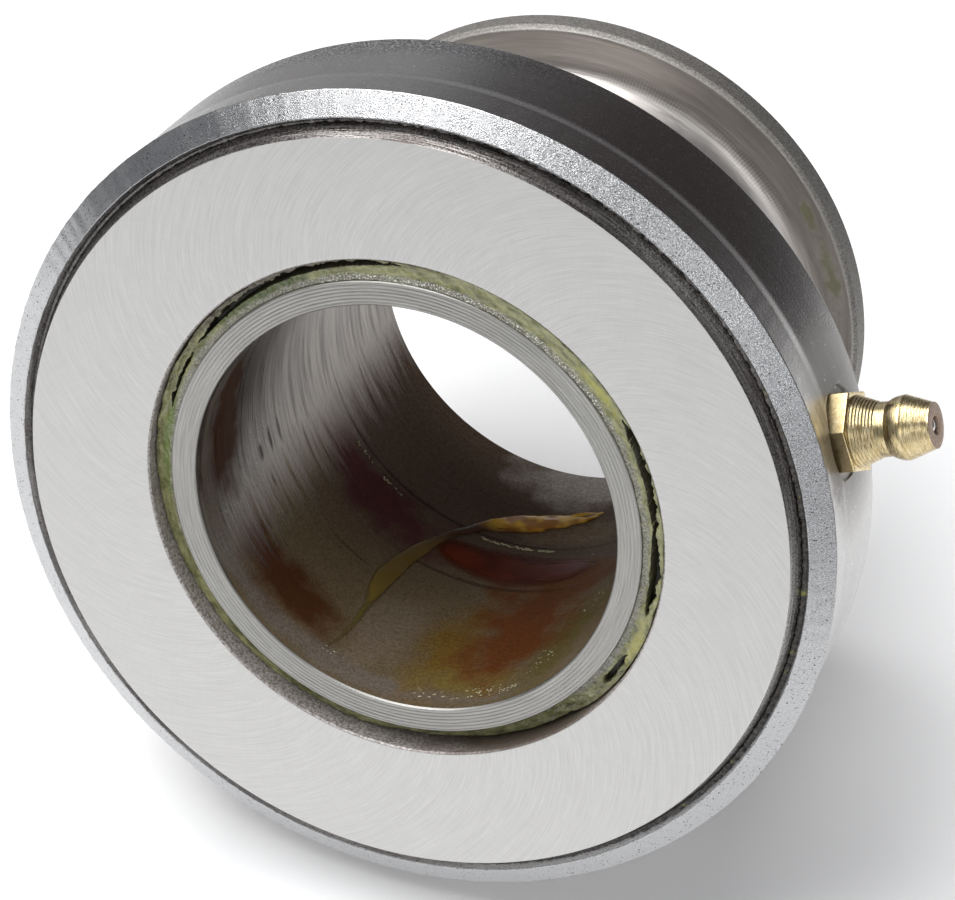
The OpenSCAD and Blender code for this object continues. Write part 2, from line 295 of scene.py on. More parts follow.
fill(tree, shader, {
    "Metallic": add(tree, "MapRange", (film, 0.0, 1.0, 1.0, 0.1)),
    "Base Color": add(tree, "Mix", (film, steel, oil), data_type="RGBA"),
    "Roughness": add(tree, "MapRange", (fine, 0.3, 0.7, 0.24, 0.42)),
    "Specular IOR Level": 0.0,
    "Normal": add(tree, "Bump", {"Height": grain, "Distance": 0.03 / MM, "Normal": streak_bump}),
})

# Faced spigot end: fresh-cut steel, grey with fine rings
faced, tree, shader = finish("faced_steel")
place, radius, height, angle, around = round_space(tree)
fine = turning(tree, around, radius, 0.08, 5)
tone = add(tree, "MapRange", (fine, 0.3, 0.7))
fill(tree, shader, {
    "Metallic": 1.0,
    "Base Color": add(tree, "Mix", (tone, rgb("#8b8a86"), rgb("#adaba7")), data_type="RGBA"),
    "Roughness": 0.42,
    "Normal": add(tree, "Bump", {"Height": fine, "Distance": 0.015 / MM}),
})

# Flange rim: dark smooth steel that mirrors the room, grainier at the back on one side.
# It is dulled around the grease fitting, with a brown reflection of the brass painted on it just in front of
# the fitting.
dark, tree, shader = finish("dark_rim_steel")
place, radius, height, angle, around = round_space(tree)
fine = turning(tree, around, height, 0.25, 5)
tone = add(tree, "MapRange", (fine, 0.3, 0.7))
metal = add(tree, "Mix", (tone, rgb("#a3a19f"), rgb("#b0aeac")), data_type="RGBA")
grain = add(tree, "TexNoise", (place, 1 / 0.28, 3.0))
warp = add(tree, "Math", (grain, 0.5), operation="SUBTRACT")
rear = patch(tree, degrees(tree, angle), height, (105, 38.0), (48, 3.6), warp)
speckle = add(tree, "MapRange", (add(tree, "TexNoise", (place, 1 / 0.2, 0.0)), 0.48, 0.7))
speckled = add(tree, "Mix", (speckle, rgb("#6a6868"), rgb("#e4e3e2")), data_type="RGBA")
metal = add(tree, "Mix", (rear, metal, speckled), data_type="RGBA")
specks = add(tree, "MapRange", (add(tree, "TexNoise", (place, 1 / 0.35, 0.0)), 0.77, 0.82))
metal = add(tree, "Mix", (specks, metal, rgb("#d8d6d3")), data_type="RGBA")
facing = degrees(tree, angle, 180)
dulled = patch(tree, facing, height, (180, FITTING_Z), (14, 9.0), 0.0, 0.3)
# Painted reflection: a brown patch in front of the fitting, standing in for the brass fitting's reflection on
# the rim.
warp = add(tree, "Math", (add(tree, "TexNoise", (place, 1.0)), 0.5), operation="SUBTRACT")
tint_patch = patch(tree, facing, height, (179.5, 49.2), (7.0, 3.2), warp, 0.6)
polish = add(tree, "MapRange", (grain, 0.3, 0.7, 0.2, 0.28))
grit = add(tree, "Math", (grain, add(tree, "MapRange", (rear, 0.0, 1.0, 0.2, 1.0))), operation="MULTIPLY")
line_bump = add(tree, "Bump", {"Height": fine, "Distance": 0.012 / MM})
fill(tree, shader, {
    "Metallic": 1.0,
    "Base Color": add(tree, "Mix", (tint_patch, metal, rgb("#4f423a")), data_type="RGBA"),
    "Roughness": add(tree, "Math", (polish, dulled), operation="ADD"),
    "Normal": add(tree, "Bump", {"Height": grit, "Distance": 0.1 / MM, "Normal": line_bump}),
})

# Rolled lip: steel burnished by the roller, bright and coarsest on one side, with its sparkle painted into
# the colour as pale and dark specks that are strongest on that side, where the highlight falls
rolled, tree, shader = finish("rolled_lip_steel")
place, radius, height, angle, around = round_space(tree)
turn = degrees(tree, angle, 90)
torn = add(tree, "MapRange", (patch(tree, turn, radius, (125, 44), (72, 20), 0.0), 0.0, 1.0, 0.3, 1.0))
grain = add(tree, "TexNoise", (place, 1 / 0.1, 1.0))
grain = add(tree, "Math", (grain, torn), operation="MULTIPLY")
coarse = turning(tree, around, add(tree, "Math", (height, radius), operation="ADD"), 0.8, 16)
# Painted sparkle: pale and dark specks in the colour stand in for the grain's glints, strongest where the
# lip's highlight falls.
sparkle = add(tree, "MapRange", (add(tree, "TexNoise", (place, 1 / 0.12, 0.0)), 0.35, 0.65))
sparkle = add(tree, "Mix", (torn, 0.5, sparkle))
metal = add(tree, "Mix", (sparkle, rgb("#969798"), rgb("#c3c3c4")), data_type="RGBA")
pits = add(tree, "MapRange", (add(tree, "TexNoise", (place, 1 / 0.22, 0.0)), 0.27, 0.22))
line_bump = add(tree, "Bump", {"Height": coarse, "Distance": 0.004 / MM})
fill(tree, shader, {
    "Metallic": 1.0,
    "Base Color": add(tree, "Mix", (pits, metal, rgb("#55524f")), data_type="RGBA"),
    "Roughness": add(tree, "MapRange", (coarse, 0.3, 0.7, 0.2, 0.3)),
    "Normal": add(tree, "Bump", {"Height": grain, "Distance": 0.04 / MM, "Normal": line_bump}),
})

WALL, FACED, DARK, ROLLED = 1, 2, 3, 4
end_face = []
for i in range(END_RINGS * 4 + 1):
    step = END_OUT_R + (END_IN_R - END_OUT_R) * i / (END_RINGS * 4)
    end_face.append((step, SPIGOT_Z - (END_RING_DEPTH if i % 4 == 2 else 0), FACED))
slope = []
for i in range(STEP_POINTS + 1):
    t = i / STEP_POINTS
    rise = STEP_RISE * t * t * (3 - 2 * t)
    slope.append((FLANGE_R + rise, STEP_FROM_Z + (STEP_TO_Z - STEP_FROM_Z) * t, DARK))
sleeve = lathe("sleeve", [
    (BORE_R, BORE_CHAMFER), (BORE_R + BORE_CHAMFER, 0), (COLLAR_R - COLLAR_CHAMFER, 0),
    (COLLAR_R, COLLAR_CHAMFER), (COLLAR_R, COLLAR_Z - COLLAR_CHAMFER), (COLLAR_R - COLLAR_CHAMFER, COLLAR_Z),
    *arc(NECK_R + NECK_FILLET, COLLAR_Z + NECK_FILLET, NECK_FILLET, 270, 180, 12),
    *arc(NECK_R + NECK_FILLET, FLANGE_Z - NECK_FILLET, NECK_FILLET, 180, 90, 12),
    (FLANGE_BACK_R - FLANGE_CHAMFER, FLANGE_Z, DARK), (FLANGE_BACK_R, FLANGE_Z + FLANGE_CHAMFER, DARK),
    (FLANGE_R, TAPER_Z, DARK), *slope,
    (BULGE_R, BEND_Z, ROLLED), (LIP_R, LIP_Z, ROLLED), (LIP_IN_R, LIP_IN_Z, ROLLED),
    (RECESS_R, RECESS_Z), (RECESS_R, LEDGE_Z), (TAIL_IN_R, LEDGE_Z), (TAIL_IN_R, CUP_STEP_Z),
    (CUP_R, CUP_STEP_Z), (CUP_R, SEAT_Z), (SPIGOT_R, SEAT_Z), (SPIGOT_R, SPIGOT_Z - 0.1, FACED), *end_face,
    (BORE_R + 0.2, SPIGOT_Z, FACED), (BORE_R, SPIGOT_Z - 0.2, WALL),
], [turned, wall, faced, dark, rolled], turns=540)
for v in sleeve.data.vertices:
    r, z = math.hypot(v.co.x, v.co.y) * MM, v.co.z * MM
    bend, tip = math.hypot(r - BULGE_R, z - BEND_Z), math.hypot(r - LIP_R, z - LIP_Z)
    if min(bend, tip) < RAGGED_REACH:
        rag = noise.fractal(v.co * 1400, 0.7, 2.0, 4) * RAGGED
        v.co += Vector((v.co.x / r, v.co.y / r, 0)) * rag + Vector((0, 0, rag / MM / 2))
disc = []
for depth in (0, SPOT_CUT):
    for i in range(SPOT_SIDES):
        y, z, x = swing(SPOT_FACE_R, 2 * math.pi * i / SPOT_SIDES, SPOT_R + depth)
        disc.append((x, y, FITTING_Z + z))
ends = [tuple(range(SPOT_SIDES))[::-1], tuple(range(SPOT_SIDES, 2 * SPOT_SIDES))]
mill = show("mill", disc, ends + quads(2, SPOT_SIDES, round_columns=True, flip=True), [dark])
cut = sleeve.modifiers.new("spot_face", "BOOLEAN")
cut.object, cut.solver = mill, "EXACT"
sleeve.modifiers.move(1, 0)
sleeve.data = bpy.data.meshes.new_from_object(sleeve.evaluated_get(bpy.context.evaluated_depsgraph_get()))
sleeve.modifiers.clear()
bpy.data.objects.remove(mill)
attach(sleeve, "carrier")
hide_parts("carrier_sleeve")

# Rear race, cage and balls: hardened steel inside the cup, hidden by the grease and the front race.
# They keep their CAD shapes and take a plain finish each, ground, pressed or polished.

# Ground and pressed steel: plain greys with a soft shine
for node, code, rough in (("rear_race", "#b5b3b0", 0.3), ("ball_cage", "#8f8c88", 0.4)):
    plain, tree, shader = finish(node + "_steel")
    fill(tree, shader, {"Metallic": 1.0, "Base Color": rgb(code), "Roughness": rough})
    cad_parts[node].data.materials.clear()
    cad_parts[node].data.materials.append(plain)

# Polished balls: bright steel that mirrors sharply
polished, tree, shader = finish("polished_balls")
fill(tree, shader, {"Metallic": 1.0, "Base Color": rgb("#d8d8da"), "Roughness": 0.12})
for node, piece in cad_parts.items():
    if node.startswith("ball_") and node != "ball_cage" or node == "check_ball":
        piece.data.materials.clear()
        piece.data.materials.append(polished)

# Front race: the turning race, with its ground thrust face and a rim left dark from hardening.
# One turned profile with the ball groove, ground flat on the front.
RACE_BORE_R, LAND_Z, TAIL_R, STEP_Z, RIM_MAX_R, FACE_R, FACE_Z = 28.1, 48.8, 41.8, 51.2, 42.567, 41.351, 55.0
PITCH_R, GROOVE_Z, GROOVE_R, GROOVE_HALF, RACE_CHAMFER = 34.35, 46.671, 4.129, 3.54, 0.2

# Ground face: pale steel with long arcs left by the wheel, radial inside and sweeping over at the rim.
# The arcs are drawn further apart than the wheel's grit leaves them.
ground, tree, shader = finish("ground_face")
place, radius, height, angle, around = round_space(tree)
lean = add(tree, "Math", (add(tree, "MapRange", (radius, 27.0, 42.0)), 1.5), operation="POWER")
marks = []
for sweep, seed in ((0.36, 0.0), (-0.3, 7.0)):
    swept = add(tree, "Math", (lean, sweep, angle), operation="MULTIPLY_ADD")
    circle = add(tree, "CombineXYZ", (
        add(tree, "Math", (swept,), operation="COSINE"), add(tree, "Math", (swept,), operation="SINE"),
    ))
    marks.append(turning(tree, circle, add(tree, "Math", (radius, seed), operation="ADD"), 3.0, 260))
arcs = add(tree, "Mix", (0.2, *marks))
tone = add(tree, "MapRange", (arcs, 0.35, 0.65))
fill(tree, shader, {
    "Metallic": 1.0,
    "Base Color": add(tree, "Mix", (tone, rgb("#bdbcba"), rgb("#cfcecc")), data_type="RGBA"),
    "Roughness": add(tree, "MapRange", (arcs, 0.35, 0.65, 0.42, 0.5)),
    "Normal": add(tree, "Bump", {"Height": arcs, "Distance": 0.01 / MM}),
})

# Heat scale: the black-brown skin of hardened steel, grainy and streaked around the rim, painted paler on one
# side as a sheen and with white glints painted on at another
scale, tree, shader = finish("heat_scale")
place, radius, height, angle, around = round_space(tree)
turn = degrees(tree, angle)
streak = turning(tree, around, height, 0.22, 5, 4.0)
grain = add(tree, "TexNoise", (place, 1 / 0.25, 3.0))
tone = add(tree, "MapRange", (add(tree, "Mix", (0.3, streak, grain)), 0.4, 0.6))
skin = add(tree, "Mix", (tone, rgb("#5d5754"), rgb("#b6b1ae")), data_type="RGBA")
# Painted sheen: one side of the rim made paler, standing in for the bright surroundings it mirrors there.
painted_sheen = patch(tree, turn, height, (308, 53), (48, 20), 0.0, 0.8)
skin = add(tree, "Mix", (painted_sheen, skin, rgb("#d2d1cf")), data_type="RGBA")
warp = add(tree, "MapRange", (grain, 0.0, 1.0, -1.0, 1.0))
# Painted glints: white specks on the rim at one side, standing in for glints of light.
glint_patch = patch(tree, turn, height, (32, 52.9), (15, 2.0), warp, 0.8)
glints = add(tree, "MapRange", (add(tree, "TexNoise", (place, 1 / 0.16, 0.0)), 0.5, 0.62))
glint_patch = add(tree, "Math", (glint_patch, glints), operation="MULTIPLY")
streak_bump = add(tree, "Bump", {"Height": streak, "Distance": 0.06 / MM})
fill(tree, shader, {
    "Metallic": 1.0,
    "Base Color": add(tree, "Mix", (glint_patch, skin, rgb("#f4f3f1")), data_type="RGBA"),
    "Roughness": add(tree, "MapRange", (grain, 0.3, 0.7, 0.22, 0.36)),
    "Normal": add(tree, "Bump", {"Height": grain, "Distance": 0.035 / MM, "Normal": streak_bump}),
})

# Greased race bore: grey metal under a thin film of grease, speckled and stained brown on one side
filmed, tree, shader = finish("greased_race_bore")
place, radius, height, angle, around = round_space(tree)
speckle = add(tree, "TexNoise", (place, 1 / 0.3))
tone = add(tree, "MapRange", (speckle, 0.35, 0.65))
colour = add(tree, "Mix", (tone, rgb("#756e68"), rgb("#bcb6b4")), data_type="RGBA")
wander = add(tree, "Math", (add(tree, "TexNoise", (place, 1 / 2.5, 3.0)), 0.5), operation="SUBTRACT")
brown = patch(tree, degrees(tree, angle), height, (285, 52), (32, 6.0), wander, 0.85)
fill(tree, shader, {
    "Metallic": 0.2,
    "Base Color": add(tree, "Mix", (brown, colour, rgb("#62544a")), data_type="RGBA"),
    "Roughness": 0.35,
    "Normal": add(tree, "Bump", {"Height": speckle, "Distance": 0.05 / MM}),
})

GROUND, SCALE, FILMED = range(3)
race = lathe("front_race_turned", [
    (RACE_BORE_R, LAND_Z, SCALE), (PITCH_R - GROOVE_HALF, LAND_Z, SCALE),
    *[(r, z, SCALE) for r, z in arc(PITCH_R, GROOVE_Z, GROOVE_R, 149, 31, 14)],
    (PITCH_R + GROOVE_HALF, LAND_Z, SCALE), (TAIL_R, LAND_Z, SCALE), (TAIL_R, STEP_Z, SCALE),
    (RIM_MAX_R, STEP_Z, SCALE), (FACE_R, FACE_Z, GROUND),
    (RACE_BORE_R + RACE_CHAMFER, FACE_Z, FILMED), (RACE_BORE_R, FACE_Z - RACE_CHAMFER, FILMED),
], [ground, scale, filmed], edge=0.06)
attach(race, "front_race")
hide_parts("front_race")

# Packed dirt: old grease and dust caught behind the rolled lip, just clear of the turning race.
# A ragged bead all round, standing on the lip's inner edge and worn lower at the top, where its colour is
# painted paler for the light that falls there.
BEAD_TURNS, BEAD_Z, BEAD_FOOT_Z, BEAD_LUMPS, BEAD_GAP = 1440, 53.2, 52.3, 0.22, 0.07
WORN_AT, WORN_DEPTH = 95, 0.35
RIM_TAPER = (RIM_MAX_R - FACE_R) / (FACE_Z - STEP_Z)

# Dirt: dull dark crumbs with olive spots, painted pale grey at the top as the light on it
dirt, tree, shader = finish("packed_dirt")
place, radius, height, angle, around = round_space(tree)
crumb = add(tree, "TexNoise", (place, 1 / 0.3, 3.0))
tone = add(tree, "MapRange", (crumb, 0.35, 0.7))
dust = add(tree, "Mix", (tone, rgb("#26221f"), rgb("#5e5a56")), data_type="RGBA")
olive = add(tree, "MapRange", (add(tree, "TexNoise", (place, 1 / 1.1)), 0.66, 0.72))
dust = add(tree, "Mix", (olive, dust, rgb("#84834a")), data_type="RGBA")
# Painted light: the bead's top made pale grey, where the light falls on it.
painted_light_top = add(tree, "Mix", (tone, rgb("#7b7774"), rgb("#bcb9b6")), data_type="RGBA")
top = patch(tree, degrees(tree, angle), radius, (WORN_AT, 42), (85, 20), 0.0, 0.9)
fill(tree, shader, {
    "Base Color": add(tree, "Mix", (top, dust, painted_light_top), data_type="RGBA"),
    "Roughness": 0.5,
    "Normal": add(tree, "Bump", {"Height": crumb, "Distance": 0.12 / MM}),
})

verts = []
for i in range(BEAD_TURNS):
    spin = 2 * math.pi * i / BEAD_TURNS
    c, s = math.cos(spin), math.sin(spin)
    high = BEAD_Z + BEAD_LUMPS * noise.fractal(Vector((c * 60, s * 60, 2.0)), 0.8, 2.0, 4)
    high -= WORN_DEPTH * max(0.0, min(1.0, 2.2 * math.cos(spin - math.radians(WORN_AT))))
    crust = 0.08 * max(0.0, noise.noise(Vector((c * 90, s * 90, 5.0))))
    near = FACE_R + RIM_TAPER * (FACE_Z - high) + BEAD_GAP + crust
    section = (
        (RECESS_R - 0.5, BEAD_FOOT_Z), (near + 0.3, BEAD_FOOT_Z), (near + 0.25, high - 0.4),
        (near, high - 0.1), (near + 0.15, high), (LIP_IN_R + 0.1, high - 0.05), (LIP_R - 0.2, high),
    )
    verts += [swing(r, spin, z) for r, z in section]
bead = show("packed_dirt", verts, quads(BEAD_TURNS, len(section), round_rows=True, flip=True), [dirt])
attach(bead, "carrier")

# Grease ring: olive grease pressed out of the bearing into the gap around the spigot.
# A lumpy ring that stands on the sleeve and stays just clear of the turning race, torn open in places.
# OUTER and INNER are its heights at the two edges by degrees around, TEARS the cracks in it.
RING_TURNS, RING_ROWS, RING_IN_R, RING_OUT_R = 1440, 28, SPIGOT_R + 0.02, RACE_BORE_R - 0.13
RING_FOOT_Z, TEAR_Z = 50.4, 52.2
OUTER = ((-180, 52.9), (-150, 52.6), (-120, 52.3), (-95, 51.4), (-70, 51.6), (-55, 53.2), (-44, 54.2),
         (0, 54.5), (40, 54.6), (75, 54.4), (100, 54.1), (140, 53.7), (180, 52.9))
INNER = ((-180, 53.9), (-150, 53.4), (-120, 52.8), (-95, 51.6), (-70, 51.9), (-55, 53.4), (-44, 54.2),
         (0, 54.35), (40, 54.4), (75, 54.4), (100, 54.2), (140, 54.1), (180, 53.9))
TEARS = ((-53, -42, 27.0, 27.1, 0.3), (-31, -9, 27.1, 27.0, 0.42), (-11, 17, 27.1, 27.6, 0.4),
         (74, 132, 27.65, 26.95, 0.27), (134, 150, 26.9, 26.8, 0.14))

# Olive grease: wet and lumpy, green to yellow, with yellow-green highlights painted on its lumps, and grit
# along its inner edge with white glints painted on it
smear, tree, shader = finish("olive_grease")
place, radius, height, angle, around = round_space(tree)
turn = degrees(tree, angle)
lumps = add(tree, "TexNoise", (place, 1 / 0.5, 4.0))
streaks = add(tree, "MapRange", (turning(tree, around, radius, 0.7, 14), 0.35, 0.65))
wander = add(tree, "MapRange", (add(tree, "TexNoise", (place, 1 / 1.5, 3.0)), 0.0, 1.0, -0.75, 0.75))
colour = add(tree, "Mix", (streaks, rgb("#565835"), rgb("#94946a")), data_type="RGBA")
# Painted highlights: the lumps' tops coloured pale yellow-green.
lump_highlights = add(tree, "MapRange", (lumps, 0.5, 0.75, 0.0, 0.6))
colour = add(tree, "Mix", (lump_highlights, colour, rgb("#9a9558")), data_type="RGBA")
gravel = add(tree, "MapRange", (add(tree, "TexNoise", (place, 1 / 0.2)), 0.35, 0.65))
grit = add(tree, "Mix", (gravel, rgb("#4f4c44"), rgb("#9b9990")), data_type="RGBA")
# Painted glints: white specks on the grit next to the spigot, over the angles where the light catches it.
glint_specks = add(tree, "MapRange", (add(tree, "TexNoise", (place, 1 / 0.16, 0.0)), 0.62, 0.7))
lit = add(tree, "Math", (
    add(tree, "MapRange", (turn, 10, 22)), add(tree, "MapRange", (turn, 105, 85)),
), operation="MULTIPLY")
lit = add(tree, "Math", (lit, glint_specks), operation="MULTIPLY")
grit = add(tree, "Mix", (lit, grit, rgb("#f2f1ec")), data_type="RGBA")
inside = add(tree, "Math", (wander, 0.5, radius), operation="MULTIPLY_ADD")
inside = add(tree, "MapRange", (inside, 26.55, 26.2, 0.0, 0.8))
colour = add(tree, "Mix", (inside, colour, grit), data_type="RGBA")
for spot, size, code in (
    ((102, 27.8), (32, 0.65), "#4a3c30"),
    ((112, 26.7), (20, 0.5), "#3c4a1c"),
    ((158, 26.6), (14, 0.6), "#5f7034"),
    ((24, 27.2), (7, 0.5), "#9c9a44"),
    ((322, 27.3), (7, 0.6), "#a09a58"),
):
    tint_patch = patch(tree, turn, radius, spot, size, wander, 0.85)
    colour = add(tree, "Mix", (tint_patch, colour, rgb(code)), data_type="RGBA")
fill(tree, shader, {
    "Base Color": colour, "Roughness": 0.3, "Coat Weight": 0.4, "Coat Roughness": 0.12,
    "Normal": add(tree, "Bump", {"Height": lumps, "Distance": 0.16 / MM}),
})

# Torn grease: the bottom of the cracks, painted dark as the shade down in them
crack_shade, tree, shader = finish("grease_crack_shade")
fill(tree, shader, {"Base Color": rgb("#2b2818"), "Roughness": 0.4})


def read_off(table, x):
    """Smooth value of a table of (place, value) rows."""
    for (x0, y0), (x1, y1) in zip(table, table[1:]):
        if x <= x1:
            t = (x - x0) / (x1 - x0)
            return y0 + (y1 - y0) * t * t * (3 - 2 * t)
    return table[-1][1]


verts, torn = [], []
for i in range(RING_TURNS):
    turn = -180 + 360 * i / RING_TURNS
    spin = math.radians(turn)
    c, s = math.cos(spin), math.sin(spin)
    swell = noise.fractal(Vector((c * 6, s * 6, 1.0)), 0.8, 2.0, 4)
    ragged = noise.fractal(Vector((c * 24, s * 24, 4.0)), 0.8, 2.0, 3)
    outer = RING_OUT_R - 0.2 * max(0.0, noise.fractal(Vector((c * 9, s * 9, 9.0)), 0.8, 2.0, 4))
    for k in range(RING_ROWS):
        t = k / (RING_ROWS - 1)
        r = RING_IN_R + (outer - RING_IN_R) * t
        z = read_off(INNER, turn) * (1 - t) + read_off(OUTER, turn) * t + 0.15 * swell
        z += 0.1 * (2 * t - 1) ** 2
        z += 0.1 * noise.fractal(Vector((r * c * 1.4, r * s * 1.4, 0.0)), 0.8, 2.0, 3)
        deep = False
        for start, end, r0, r1, half in TEARS:
            if start < turn < end:
                span = (turn - start) / (end - start)
                wide = half * min(1.0, 6 * span, 6 * (1 - span)) * (1 + 0.7 * ragged)
                deep = deep or abs(r - (r0 + (r1 - r0) * span) - 0.16 * ragged) < wide
        verts.append(swing(r, spin, TEAR_Z if deep else z))
        torn.append(deep)
    verts += [swing(outer, spin, RING_FOOT_Z), swing(RING_IN_R, spin, RING_FOOT_Z)]
    torn += [False, False]
faces = quads(RING_TURNS, RING_ROWS + 2, round_rows=True, round_columns=True, flip=True)
ring = show("grease_ring", verts, faces, [smear, crack_shade], [int(torn[f[0]] or torn[f[1]]) for f in faces])
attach(ring, "carrier")

# Oil pool: dark red oil standing on the bore's lower wall, below the strand.
# A thin lens on the wall with a round wet edge.
POOL_FROM, POOL_SWEEP, POOL_Z, POOL_HALF, POOL_DEPTH = 231, 52, 23.2, 4.1, 0.12
POOL_STEPS, POOL_SIDES = 120, 17

# Red oil: clouded and nearly matt, clear where it thins out
red, tree, shader = finish("red_oil")
place, radius, height, angle, around = round_space(tree)
cloud = add(tree, "MapRange", (add(tree, "TexNoise", (place, 1 / 3.0, 3.0)), 0.35, 0.65))
fill(tree, shader, {
    "Base Color": add(tree, "Mix", (cloud, rgb("#522012"), rgb("#682c1a")), data_type="RGBA"),
    "Roughness": 0.3,
    "Specular IOR Level": 0.02,
    "Alpha": add(tree, "MapRange", (radius, BORE_R + 0.01, BORE_R - 0.09)),
})

verts = []
for i in range(POOL_STEPS + 1):
    t = i / POOL_STEPS
    uneven = 1 + 0.08 * noise.noise(Vector((t * 9, 2.0, 0.0)))
    wide = POOL_HALF * max(0.02, 1 - (2 * t - 1) ** 2) ** 0.6 * uneven
    for n in range(POOL_SIDES):
        v = 2 * n / (POOL_SIDES - 1) - 1
        r = BORE_R + 0.02 - POOL_DEPTH * (1 - v ** 2) * min(1.0, 8 * t, 8 * (1 - t))
        spin = math.radians(POOL_FROM + POOL_SWEEP * t)
        verts.append(swing(r, spin, POOL_Z + 0.8 * math.sin(3 * t) + wide * v))
pool = show("oil_pool", verts, quads(POOL_STEPS + 1, POOL_SIDES), [red])
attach(pool, "carrier")

# Grease strand: a string of amber grease that ran down the bore's wall and gathered near the rear mouth.
# A flattened bead along the wall, thin in front, widest halfway and glossy at the end.
# PATH gives its degrees around, height and half width.
STRAND_STEPS, STRAND_SIDES, STRAND_HIGH = 180, 11, 0.34
PATH = ((227.8, 50.8, 0.25), (229.2, 47.5, 0.35), (229.6, 44, 0.42), (229.4, 40.5, 0.5), (228.6, 37, 1.0),
        (228.4, 34, 1.3), (229.4, 30.5, 1.15), (231, 27, 1.0), (233.3, 23.5, 0.75), (236.6, 20.2, 0.7),
        (241, 17.2, 0.85), (246, 15.2, 1.6), (251, 13.9, 2.1), (256, 12.9, 2.0), (261, 12.0, 1.7),
        (266, 11.0, 1.3), (271, 9.8, 0.5))

# Amber grease: brown and half clear along the wall, gold where it gathered, with pale and dark bands painted
# over its folds as their highlights and shade
amber, tree, shader = finish("amber_grease")
place, radius, height, angle, around = round_space(tree)
folds = add(tree, "TexNoise", (place, 1 / 1.8, 1.0))
front = add(tree, "MapRange", (height, 34.0, 48.0))
body = add(tree, "Mix", (front, rgb("#6b5626"), rgb("#7f722f")), data_type="RGBA")
body = add(tree, "Mix", (add(tree, "MapRange", (height, 26.0, 20.0)), body, rgb("#4d3320")), data_type="RGBA")
# Painted highlights and shade: pale and dark gold bands over the folds at the gathered end.
fold_light = add(tree, "MapRange", (folds, 0.4, 0.6))
gold = add(tree, "Mix", (fold_light, rgb("#bd7a16"), rgb("#ffc944")), data_type="RGBA")
body = add(tree, "Mix", (add(tree, "MapRange", (height, 17.5, 14.5)), body, gold), data_type="RGBA")
crown = add(tree, "MapRange", (radius, BORE_R, BORE_R - 0.16))
fill(tree, shader, {
    "Base Color": add(tree, "Mix", (crown, rgb("#3f2c1c"), body), data_type="RGBA"),
    "Roughness": 0.3,
    "Specular IOR Level": 0.15,
    "Coat Weight": add(tree, "MapRange", (height, 19.0, 15.0, 0.1, 0.12)),
    "Coat Roughness": 0.1,
    "Alpha": add(tree, "MapRange", (radius, BORE_R, BORE_R - 0.2, 0.0, 0.95)),
    "Normal": add(tree, "Bump", {"Height": folds, "Distance": 0.12 / MM}),
})

verts = []
for i in range(STRAND_STEPS + 1):
    x = (len(PATH) - 1) * i / STRAND_STEPS
    k = min(int(x), len(PATH) - 2)
    turn, z, half = (PATH[k][n] + (PATH[k + 1][n] - PATH[k][n]) * (x - k) for n in range(3))
    slant = math.atan2((PATH[k + 1][0] - PATH[k][0]) * 0.4, PATH[k][1] - PATH[k + 1][1])
    for n in range(STRAND_SIDES):
        a = math.pi * n / (STRAND_SIDES - 1)
        side = -half * math.cos(a)
        fold = 1 + (1.1 if z < 16 else 0.4) * noise.noise(Vector((i * 0.09, side * 1.8, 7.0)))
        spin = math.radians(turn) + side * math.cos(slant) / BORE_R
        r = BORE_R + 0.03 - min(STRAND_HIGH, half * 0.32) * math.sin(a) * fold
        verts.append(swing(r, spin, z + side * math.sin(slant)))
strand = show("grease_strand", verts, quads(STRAND_STEPS + 1, STRAND_SIDES), [amber])
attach(strand, "carrier")

# Crumbs: pale wet flakes of grease stuck along the bore's front edge, and pale flakes along the oil pool's
# edge and the line above it that stand in for glints there, as painted highlights.
# Small flat pebbles pressed onto the wall, strewn over a few stretches of it.
CRUMB_SIDES, CRUMB_RINGS = 6, ((0.0, 1.0), (0.6, 0.75), (0.95, 0.35))

# Wet flakes: pale yellow-grey grease with a gloss, used for the painted glints too
pale, tree, shader = finish("pale_flakes_and_glints")
fill(tree, shader, {"Base Color": rgb("#aaa582"), "Roughness": 0.2, "Coat Weight": 0.5})

random.seed(4)
verts, faces = [], []
for turn0, turn1, z0, z1, number, size in (
    # The first five rows are grease crumbs; the last four are painted glints along the oil pool's edge and
    # the line above it.
    (255, 284, 51.0, 52.6, 40, 0.16), (262, 280, 50.2, 51.4, 12, 0.12), (284, 291, 44, 49, 16, 0.13),
    (290, 296, 32, 38, 12, 0.12), (226, 231, 50.2, 51, 6, 0.16), (243, 265, 18.8, 19.2, 60, 0.2),
    (199, 206, 19.3, 19.7, 12, 0.14), (211, 218, 19.7, 20.1, 12, 0.14), (276, 283, 20, 23, 5, 0.1),
):
    for crumb in range(number):
        spin, z = math.radians(random.uniform(turn0, turn1)), random.uniform(z0, z1)
        half, tall = size * random.uniform(0.6, 1.6), size * random.uniform(0.3, 0.8)
        lean, base = random.uniform(-0.5, 0.5), len(verts)
        for k, (rise, spread) in enumerate(CRUMB_RINGS):
            for n in range(CRUMB_SIDES):
                a = math.pi * (n / 3 + k / 6)
                long = half * spread * random.uniform(0.8, 1.2) * math.cos(a)
                short = half * spread * 0.4 * math.sin(a)
                r = BORE_R + 0.02 - tall * rise
                verts.append(swing(r, spin + long / BORE_R, z + short + lean * long))
        sides = quads(len(CRUMB_RINGS), CRUMB_SIDES, round_columns=True)
        faces += [tuple(base + v for v in side) for side in sides]
        faces.append(tuple(range(len(verts) - 1, len(verts) - 1 - CRUMB_SIDES, -1)))
crumbs_and_glints = show("grease_crumbs_and_glints", verts, faces, [pale])
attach(crumbs_and_glints, "carrier")

